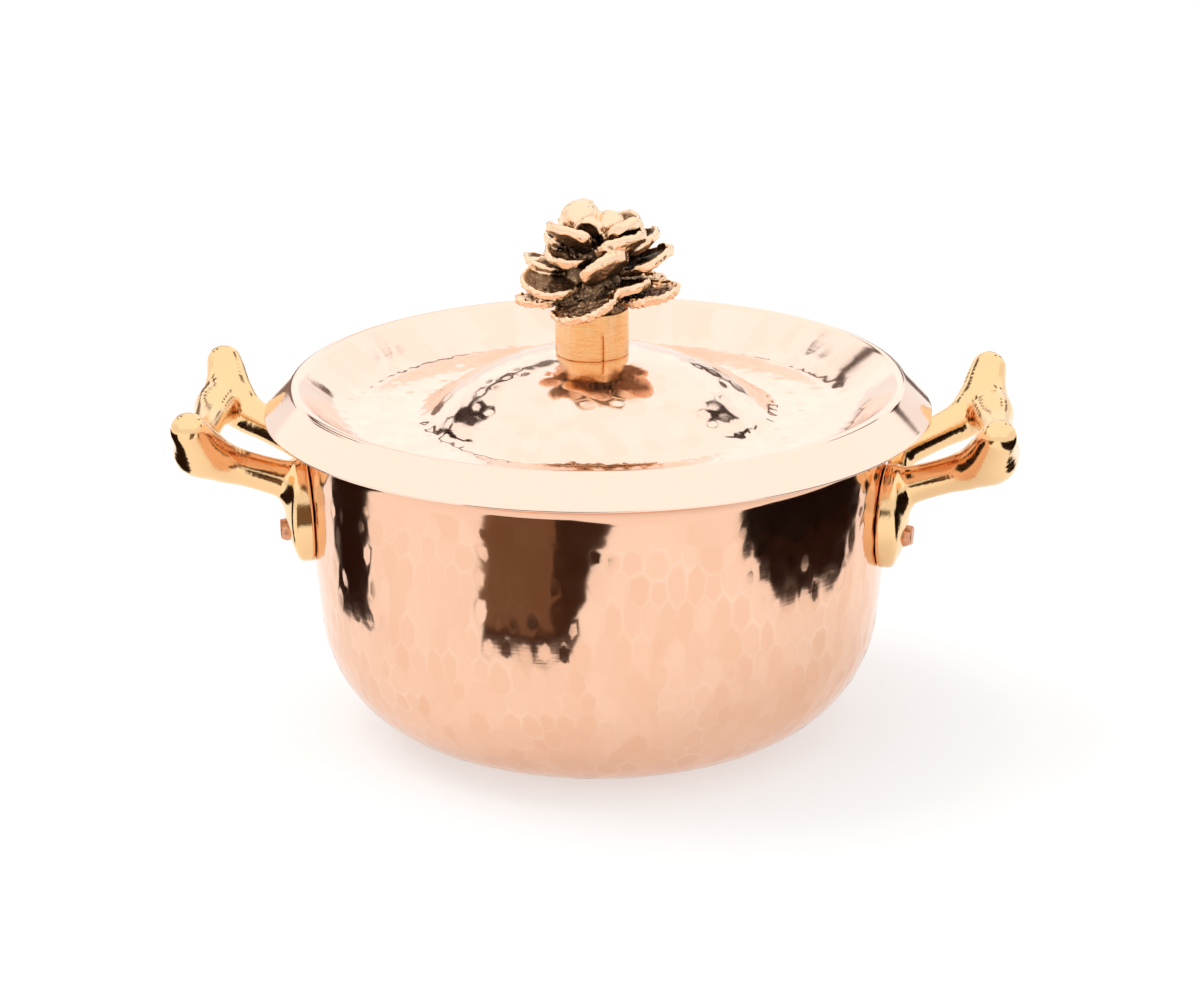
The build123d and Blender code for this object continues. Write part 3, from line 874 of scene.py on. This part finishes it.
# azimuth, root height, tip radius, tip height, half width, cup, roll, from the lowest petals up
PETALS = (
    (-12, 27.5, 27.0, 21.8, 16.0, 3.5, 20),
    (74, 24.8, 36.0, 29.0, 14.0, 3.5, 4),
    (-86, 26.5, 34.5, 22.5, 8.5, 3.0, 0),
    (132, 24.0, 34.0, 27.0, 14.0, 3.5, 0),
    (-145, 24.0, 33.0, 26.0, 15.0, 3.5, 0),
    (50, 28.5, 27.5, 33.2, 9.5, 3.0, 4),
    (-62, 34.5, 34.0, 32.0, 13.0, 3.5, -18),
    (14, 33.5, 26.5, 47.0, 11.5, 4.0, 20),
    (80, 36.0, 32.5, 45.5, 12.0, 4.0, 4),
    (-94, 36.0, 31.0, 40.0, 8.5, 3.0, 0),
    (140, 32.0, 31.0, 38.0, 13.0, 4.0, 0),
    (-142, 33.0, 30.0, 38.0, 13.0, 4.0, 0),
    (-52, 42.5, 23.5, 45.5, 12.0, 4.5, -10),
    (42, 43.0, 25.0, 55.5, 12.5, 4.5, 4),
    (98, 41.0, 26.5, 51.5, 10.0, 3.5, 0),
    (-108, 43.0, 23.0, 50.0, 10.0, 4.0, 0),
    (165, 41.0, 25.0, 49.0, 12.0, 4.5, 0),
    (-46, 46.5, 22.0, 59.0, 13.0, 4.0, 0),
    (48, 47.5, 22.5, 59.5, 9.5, 3.5, 0),
    (128, 47.0, 19.5, 57.5, 10.0, 4.0, 0),
    (-140, 48.0, 19.0, 57.0, 10.0, 4.0, 0),
    (-14, 46.0, 12.5, 61.0, 7.0, 2.2, 0),
)
BUDS = ((-6.9, 2.0, 56.6, 8.6), (5.7, 1.0, 54.8, 6.3))
RIM_BEAD = 0.9  # how much each face of a petal swells at its rim
FLESH = 3.4  # thicker in the middle of its hollow side
RIM_WIDTH = 2.6
ROUGH_BELOW = 34.0  # the lowest petals are pitted by the mould
ROUGH_FADE = 6.0  # up to there, from fully pitted
PETAL_MARGIN = 4.0  # round a petal's sphere, for its swollen rim and its fillets
SHADE_REACHES = (1.5, 3.5, 7.0)  # how far out of the skin a hollow is felt for


class Petal:
    """A cupped petal with a swollen rim, as a distance field about the knob's axis."""

    def __init__(self, azimuth, root_height, tip_radius, tip_height, half_width, cup, roll):
        way = radians(azimuth - 90)
        out = np.array([cos(way), sin(way), 0])
        shift = np.array([FLOWER_SHIFT, 0, 0])
        root = out * PETAL_ROOT_RADIUS + UP * root_height + shift
        tip = out * tip_radius + UP * tip_height + shift
        chord = tip - root
        self.half_length, self.half_width = length(chord) / 2, half_width
        self.along = chord / length(chord)
        flat = UP - self.along * self.along[2]
        flat /= length(flat)
        side = np.cross(self.along, flat)
        self.normal = flat * cos(radians(roll)) + side * sin(radians(roll))
        self.across = np.cross(self.normal, self.along)
        self.middle = (root + tip) / 2
        reach = max(self.half_length, half_width)
        self.ball = (reach**2 + cup**2) / (2 * cup)
        self.centre = self.middle + self.normal * (self.ball - cup)
        self.reach = reach + PETAL_MARGIN

    def near(self, points):
        return np.all(np.abs(points - self.middle) < self.reach, axis=-1)

    def edge(self, points):
        """How far inside the petal's oval rim each point is."""
        u = (points - self.middle) @ self.along / self.half_length
        v = (points - self.middle) @ self.across / self.half_width
        oval = np.sqrt(u**2 + v**2)
        slope = np.sqrt((u / self.half_length) ** 2 + (v / self.half_width) ** 2) / np.maximum(oval, 1e-6)
        return np.minimum((1 - oval) / np.maximum(slope, 1e-6), 20)

    def toward_tip(self, points):
        """From 0 on the root's half to 1 on the tip's half."""
        u = (points - self.middle) @ self.along / self.half_length
        return np.clip((u + 0.45) / 0.6, 0, 1)

    def field(self, points):
        edge = self.edge(points)
        bead = RIM_BEAD * np.clip(1 - np.abs(edge - RIM_WIDTH * 0.55) / RIM_WIDTH, 0, 1) ** 1.5
        flesh = FLESH * np.clip((edge - RIM_WIDTH) / min(self.half_length, self.half_width), 0, 1)
        reach = length(points - self.centre)
        skin = np.maximum(reach - self.ball - bead, self.ball - PETAL_THICKNESS - bead - flesh - reach)
        skin = np.maximum(skin, (points - self.centre) @ self.normal)
        return carve(skin, -edge, 1.7)


def bud_fields(points):
    return [length(points - np.array([FLOWER_SHIFT + x, y, z])) - radius for x, y, z, radius in BUDS]


def core_field(points):
    """The body that the petals grow from, with the buds at its top."""
    radius, height = np.hypot(points[..., 0], points[..., 1]), points[..., 2]
    heights = (FERRULE_HEIGHT, CORE_WAIST_HEIGHT, CORE_HEIGHT)
    girth = np.interp(height, heights, (FERRULE_RADIUS, CORE_WAIST_RADIUS, THROAT_RADIUS))
    body = carve(radius - girth, np.maximum(FERRULE_HEIGHT - height, height - CORE_HEIGHT), 1.0)
    for bud in bud_fields(points):
        body = blend(body, bud, 1.5)
    return body


def pitted(points):
    """From 0 to 1 on the lowest petals."""
    return np.clip((ROUGH_BELOW - points[..., 2]) / ROUGH_FADE, 0, 1)


def flower_field(points, petals):
    field = core_field(points)
    for petal in petals:
        near = petal.near(points)
        if near.any():
            field[near] = blend(field[near], petal.field(points[near]), 1.2)
    uneven = 0.28 * ripple(points, 7.0, 3) + 0.1 * ripple(points, 2.8, 4)
    return field + uneven + 0.26 * pitted(points) * ripple(points, 2.2, 5) + 0.2


def make_flower(material):
    """The flower, with how hidden and how near a bright rim each point is."""
    petals = [Petal(*shape) for shape in PETALS]
    pitch = 0.6
    low = (-38, -41, 15.5)
    points, quads, values, ways = casting_mesh(flower_field, low, (42, 41, 69), pitch, petals)
    shade = np.zeros(len(points))
    for reach in SHADE_REACHES:
        probe = ((points + ways * reach - np.array(low)) / pitch).round().astype(int)
        probe = np.clip(probe, 0, np.array(values.shape) - 1)
        shade += np.clip((reach - values[tuple(probe.T)]) / reach, 0, 1) / len(SHADE_REACHES)
    rim = np.zeros(len(points))
    for petal in petals:
        near = petal.near(points)
        at = points[near]
        on_skin = np.abs(length(at - petal.centre) - petal.ball + PETAL_THICKNESS / 2) < 2.4
        bright = np.clip(1.3 - np.abs(petal.edge(at)) / (RIM_WIDTH * (1 + pitted(at))), 0, 1)
        rim[near] = np.maximum(rim[near], bright * on_skin * petal.toward_tip(at))
    for off in bud_fields(points):
        rim = np.maximum(rim, np.clip(1.6 - off / 1.2, 0, 1) * (off < 1.2))
    placed, faces = points + KNOB_PLACE, quads.tolist()
    made = piece("knob_flower_casting", placed, faces, material, "lid", "knob_flower")
    store(made, "shade", shade)
    store(made, "rim", rim)


FOOT_BEVEL = 0.35  # of the ferrule, at its foot
SEAM_LINE = 0.12  # depth of the hairline
SEAM_DEPTH = 1.1  # more, where the seam is open


def make_ferrule(material):
    """The rolled tube, with its seam open from the foot and a hairline above it."""
    offsets = np.concatenate([np.linspace(-3, 3, 25), np.arange(6, 357, 3.0)])
    angles = radians(SEAM_AZIMUTH - 90) + np.radians(offsets)
    half_seam = degrees(SEAM_WIDTH / 2 / FERRULE_RADIUS)
    cut = np.clip(1.6 - np.abs(offsets) / half_seam, 0, 1) * (np.abs(offsets) < 3)
    rows = []
    for height in (0, 0.25, 0.8, *np.linspace(1.5, FERRULE_HEIGHT - 0.6, 22), FERRULE_HEIGHT):
        opened = np.clip((SEAM_HEIGHT - height) / 1.5, 0, 1) ** 0.5
        radius = FERRULE_RADIUS - FOOT_BEVEL * np.clip(1 - height / 0.5, 0, 1)
        rows.append(ring(radius - cut * (SEAM_LINE + SEAM_DEPTH * opened), angles, height))
    for height in (FERRULE_HEIGHT, 0):
        rows.append(ring(FERRULE_RADIUS - FERRULE_WALL, angles, height))
    count = len(angles)
    faces = []
    for row in range(len(rows)):
        a, b = row * count, (row + 1) % len(rows) * count
        for k in range(count):
            n = (k + 1) % count
            faces.append((a + k, a + n, b + n, b + k))
    points = np.concatenate(rows) + KNOB_PLACE
    piece("knob_ferrule_tube", points, faces, material, "lid", "knob_ferrule")


# Pot and lid


def make_pot(tree, copper, tin):
    plain = np.append(POT_FLARE_AT - PLAIN_RIM / 2, np.linspace(POT_FLARE_AT, lengths(POT_PATH)[-1], 26))
    raised_sheet("pot_body_copper", POT, COPPER, plain, 12, 6, tree, copper, "pot", "pot_body")
    bpy.data.objects["pot_tin_lining"].material_slots[0].material = tin


def make_lid(tree, copper, tin):
    crest = np.linspace(LID_CREST_AT, LID_CREST_AT + 6, 14)
    flange = np.linspace(crest[-1], lengths(LID_PATH)[-1], 14)[1:]
    plain = np.concatenate([[LID_CREST_AT - PLAIN_RIM / 2], crest, flange])
    raised_sheet("lid_shell_copper", LID, LID_COPPER, plain, 10, 5, tree, copper, "lid", "lid_shell")
    bpy.data.objects["lid_tin_lining"].material_slots[0].material = tin


# Finishes


def finish(name, base, roughness):
    """A metal: material, tree and shader. Colour and roughness stay where no node replaces them."""
    material = bpy.data.materials.new(name)
    material.use_nodes = True
    tree = material.node_tree
    shader = tree.nodes["Principled BSDF"]
    feed(tree, shader, {"Metallic": 1.0, "Base Color": linear(base), "Roughness": roughness})
    return material, tree, shader


def pattern(tree, size, detail=4.0, roughness=0.5, stretch=(1, 1, 1)):
    """Noise of a size in millimetres, on the piece's own coordinates."""
    place = add(tree, "ShaderNodeTexCoord").outputs["Object"]
    place = add(tree, "ShaderNodeMapping", {"Vector": place, "Scale": stretch})
    inputs = {"Vector": place, "Scale": 1000 / size, "Detail": detail, "Roughness": roughness}
    return add(tree, "ShaderNodeTexNoise", inputs)


def planished_copper(name, dull, bright):
    """Polished copper, paler on the ridges between hammer marks, where a highlight is painted, and very
    faintly scratched.
    """
    material, tree, shader = finish(name, "#f3c3a4", 0.16)
    ridge = add(tree, "ShaderNodeAttribute", attribute_name="ridge").outputs["Fac"]
    tone = add(tree, "ShaderNodeAttribute", attribute_name="tone").outputs["Fac"]
    colour = add(tree, "ShaderNodeMix", {0: tone, 6: linear(dull), 7: linear(bright)}, data_type="RGBA")
    # Painted highlight: the ridges are paled towards #ffead6, in broad patches of noise.
    inputs = {"Value": pattern(tree, 26.0, 3.0), "From Min": 0.44, "From Max": 0.68, "To Max": 0.24}
    wear_and_sheen = add(tree, "ShaderNodeMapRange", inputs)
    narrow = add(tree, "ShaderNodeMath", {0: ridge, 1: 3.0}, operation="POWER")
    line = add(tree, "ShaderNodeMath", {0: narrow, 1: wear_and_sheen}, operation="MULTIPLY")
    colour = add(tree, "ShaderNodeMix", {0: line, 6: colour, 7: linear("#ffead6")}, data_type="RGBA")
    inputs = {"Value": pattern(tree, 14.0), "To Min": 0.06, "To Max": 0.14}
    rough = add(tree, "ShaderNodeMapRange", inputs)
    scratch = pattern(tree, 3.0, 3.0, 0.6, (0.08, 0.08, 1.0))
    bump = add(tree, "ShaderNodeBump", {"Height": scratch, "Strength": 0.05, "Distance": 0.0004})
    feed(tree, shader, {"Base Color": colour, "Roughness": rough, "Normal": bump})
    return material


def cast_bronze():
    """Bronze castings with a warm polish and small pits of the mould's sand."""
    material, tree, shader = finish("Polished cast bronze", "#f5cc98", 0.12)
    inputs = {"Value": pattern(tree, 10.0), "To Min": 0.07, "To Max": 0.18}
    rough = add(tree, "ShaderNodeMapRange", inputs)
    pits = pattern(tree, 1.6, 5.0, 0.6)
    bump = add(tree, "ShaderNodeBump", {"Height": pits, "Strength": 0.12, "Distance": 0.0004})
    feed(tree, shader, {"Roughness": rough, "Normal": bump})
    return material


def patinated_bronze():
    """Bronze left dark and grainy in the hollows, polished bright on the petals' rims and the buds."""
    material, tree, shader = finish("Patinated bronze", "#b98c62", 0.35)
    shade = add(tree, "ShaderNodeAttribute", attribute_name="shade").outputs["Fac"]
    rim = add(tree, "ShaderNodeAttribute", attribute_name="rim").outputs["Fac"]
    grain = pattern(tree, 2.2, 5.0, 0.65)
    patchy = add(tree, "ShaderNodeMapRange", {"Value": grain, "To Min": -0.3, "To Max": 0.3})
    wear_and_sheen = add(tree, "ShaderNodeMath", {0: rim, 1: patchy}, operation="ADD")
    hidden = add(tree, "ShaderNodeMath", {0: shade, 1: 0.45}, operation="MULTIPLY")
    wear_and_sheen = add(tree, "ShaderNodeMath", {0: wear_and_sheen, 1: hidden}, operation="SUBTRACT")
    bright = add(tree, "ShaderNodeMapRange", {"Value": wear_and_sheen, "From Min": 0.1, "From Max": 0.5})
    # Painted glints: bright specks of noise in the dark patina stand for light caught by tiny pits.
    inputs = {"Value": pattern(tree, 1.1, 2.0), "From Min": 0.56, "From Max": 0.66, "To Max": 0.75}
    painted_glints = add(tree, "ShaderNodeMapRange", inputs)
    deep = add(tree, "ShaderNodeMapRange", {"Value": shade, "From Min": 0.2, "From Max": 0.8})
    inputs = {0: deep, 6: linear("#8a6c52"), 7: linear("#43342a")}
    dark = add(tree, "ShaderNodeMix", inputs, data_type="RGBA")
    dark = add(tree, "ShaderNodeMix", {0: painted_glints, 6: dark, 7: linear("#d8b48e")}, data_type="RGBA")
    colour = add(tree, "ShaderNodeMix", {0: bright, 6: dark, 7: linear("#f8d6b4")}, data_type="RGBA")
    rough = add(tree, "ShaderNodeMapRange", {"Value": bright, "To Min": 0.42, "To Max": 0.14})
    bump = add(tree, "ShaderNodeBump", {"Height": grain, "Strength": 0.35, "Distance": 0.0005})
    feed(tree, shader, {"Base Color": colour, "Roughness": rough, "Normal": bump})
    return material


def brushed_bronze():
    """Bronze tube brushed round its axis, which spreads the light up and down; broad vertical streaks of
    painted highlight lie on it.
    """
    material, tree, shader = finish("Brushed bronze", "#f4c183", 0.28)
    lines = pattern(tree, 0.8, 4.0, 0.7, (0.12, 0.12, 1.0))
    # Painted highlight: broad vertical streaks, paled towards #fde6c4, stand for the reflections running up
    # and down the tube.
    highlight_streaks = pattern(tree, 9.0, 3.0, 0.5, (1.0, 1.0, 0.15))
    grooves = add(tree, "ShaderNodeMapRange", {"Value": lines, "From Min": 0.3, "From Max": 0.7})
    inputs = {0: grooves, 6: linear("#e8ad6c"), 7: linear("#f8cf98")}
    colour = add(tree, "ShaderNodeMix", inputs, data_type="RGBA")
    inputs = {"Value": highlight_streaks, "From Min": 0.45, "From Max": 0.7, "To Max": 0.6}
    painted_highlight = add(tree, "ShaderNodeMapRange", inputs)
    colour = add(tree, "ShaderNodeMix", {0: painted_highlight, 6: colour, 7: linear("#fde6c4")}, data_type="RGBA")
    rough = add(tree, "ShaderNodeMapRange", {"Value": lines, "To Min": 0.16, "To Max": 0.36})
    bump = add(tree, "ShaderNodeBump", {"Height": lines, "Strength": 0.4, "Distance": 0.0004})
    feed(tree, shader, {"Base Color": colour, "Roughness": rough, "Normal": bump})
    return material


def wiped_tin():
    """Tin wiped on by hand, dull and slightly clouded."""
    material, tree, shader = finish("Wiped tin", "#d9d6cf", 0.34)
    inputs = {"Value": pattern(tree, 30.0, 5.0, 0.6), "To Min": 0.26, "To Max": 0.46}
    feed(tree, shader, {"Roughness": add(tree, "ShaderNodeMapRange", inputs)})
    return material


def rivet_copper():
    """Copper beaten down by hand, duller than the sheet."""
    material, tree, shader = finish("Peened copper", "#dc9f7c", 0.3)
    dents = pattern(tree, 1.2, 4.0, 0.6)
    bump = add(tree, "ShaderNodeBump", {"Height": dents, "Strength": 0.4, "Distance": 0.0006})
    feed(tree, shader, {"Normal": bump})
    return material


# Surroundings


def camera():
    """The photo's view."""
    made = link("Camera", bpy.data.cameras.new("Camera"))
    made.data.lens, made.data.sensor_width = LENS, 36.0
    made.data.clip_start, made.data.clip_end = 0.05, 20
    target = Vector((0, 0, lid_edge_height() * MM))
    a, e = radians(CAMERA_AZIMUTH), radians(CAMERA_ELEVATION)
    back = Vector((sin(a) * cos(e), -cos(a) * cos(e), sin(e)))
    made.location = target + back * CAMERA_DISTANCE * MM
    aim = (-back).to_track_quat("-Z", "Y").to_matrix()
    tilt = Matrix.Rotation(radians(-CAMERA_TILT), 3, "X")
    pan = Matrix.Rotation(radians(CAMERA_PAN), 3, "Y")
    roll = Matrix.Rotation(radians(-CAMERA_ROLL), 3, "Z")
    made.rotation_euler = (aim @ tilt @ pan @ roll).to_euler()
    bpy.context.scene.camera = made


def surroundings():
    """A white room, and white paper under the pot that glows a little."""
    world = bpy.data.worlds.new("White room")
    bpy.context.scene.world = world
    world.use_nodes = True
    tree = world.node_tree
    feed(tree, tree.nodes["Background"], {"Color": linear("#ffffff"), "Strength": 1.0})
    bpy.context.scene.view_settings.view_transform = "Standard"
    mesh = bpy.data.meshes.new("Floor")
    mesh.from_pydata([(-4, -4, 0), (4, -4, 0), (4, 4, 0), (-4, 4, 0)], [], [(0, 1, 2, 3)])
    paper = bpy.data.materials.new("White paper")
    paper.use_nodes = True
    inputs = {
        "Base Color": (0.5, 0.5, 0.5, 1),
        "Emission Color": linear("#ffffff"),
        "Emission Strength": 0.52,
        "Roughness": 0.9,
        "Specular IOR Level": 0.0,
    }
    feed(paper.node_tree, paper.node_tree.nodes["Principled BSDF"], inputs)
    mesh.materials.append(paper)
    link("Floor", mesh)


def key_light():
    """A soft lamp high on the left, so that the shadow falls to the right."""
    lamp = bpy.data.lights.new("Key light", "SUN")
    lamp.energy, lamp.angle = 1.0, radians(40)
    made = link("Key light", lamp)
    toward = Vector((0.5, -0.12, -0.86))
    made.rotation_euler = toward.to_track_quat("-Z", "Y").to_euler()
    made.visible_glossy = False


def glowing(name, points, faces, colour, light):
    """A surface that only reflections show."""
    mesh = bpy.data.meshes.new(name)
    mesh.from_pydata(points, [], faces)
    material = bpy.data.materials.new(name)
    material.use_nodes = True
    tree = material.node_tree
    tree.nodes.clear()
    glow = add(tree, "ShaderNodeEmission", {"Color": linear(colour), "Strength": light})
    add(tree, "ShaderNodeOutputMaterial", {"Surface": glow})
    mesh.materials.append(material)
    made = link(name, mesh)
    made.visible_camera = made.visible_diffuse = made.visible_shadow = False


def overhead():
    """A large softbox above the set."""
    reach, height = 3.0, 1.6
    corners = [(x * reach, y * reach, height) for x, y in ((-1, -1), (1, -1), (1, 1), (-1, 1))]
    glowing("Overhead softbox", corners, [(0, 1, 2, 3)], "#ffffff", SOFTBOX_LIGHT)


def card(name, foot, top, distance, heights, colour, light=1.0):
    """A curved card round the pot; azimuths from the camera."""
    rows = []
    for azimuths, height in ((foot, heights[0]), (top, heights[1])):
        turn = np.radians(np.linspace(*azimuths, 13) + CAMERA_AZIMUTH - 90)
        rows += (ring(distance, turn, height) * MM).tolist()
    glowing(name, rows, [(k, k + 1, k + 14, k + 13) for k in range(12)], colour, light)


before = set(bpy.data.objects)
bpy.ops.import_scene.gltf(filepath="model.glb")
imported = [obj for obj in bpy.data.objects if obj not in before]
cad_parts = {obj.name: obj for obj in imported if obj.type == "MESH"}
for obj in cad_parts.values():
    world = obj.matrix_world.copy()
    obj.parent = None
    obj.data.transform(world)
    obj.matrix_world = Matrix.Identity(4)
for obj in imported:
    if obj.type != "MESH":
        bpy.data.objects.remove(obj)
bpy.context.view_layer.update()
camera()
surroundings()
facets = planishing_tree()
tin = wiped_tin()
rivets = rivet_copper()
make_pot(facets, planished_copper("Planished copper", "#ecbb9c", "#f2c5a9"), tin)
# The lid's copper is painted paler than the pot's, as if more light fell on it from above: a lit copy of
# the same copper.
make_lid(facets, planished_copper("Planished copper, lid, painted paler as lit from above", "#f8d6c2", "#faddcb"), tin)
make_handles(cast_bronze())
make_rivets(rivets)
make_flower(patinated_bronze())
make_ferrule(brushed_bronze())
for node in ("knob_stud", "knob_washer"):
    bpy.data.objects[node].material_slots[0].material = rivets
for values in CARDS:
    card(*values)
card("Bright backdrop", (110, 250), (110, 250), 1500, (430, 1600), "#ffffff", SOFTBOX_LIGHT)
overhead()
key_light()
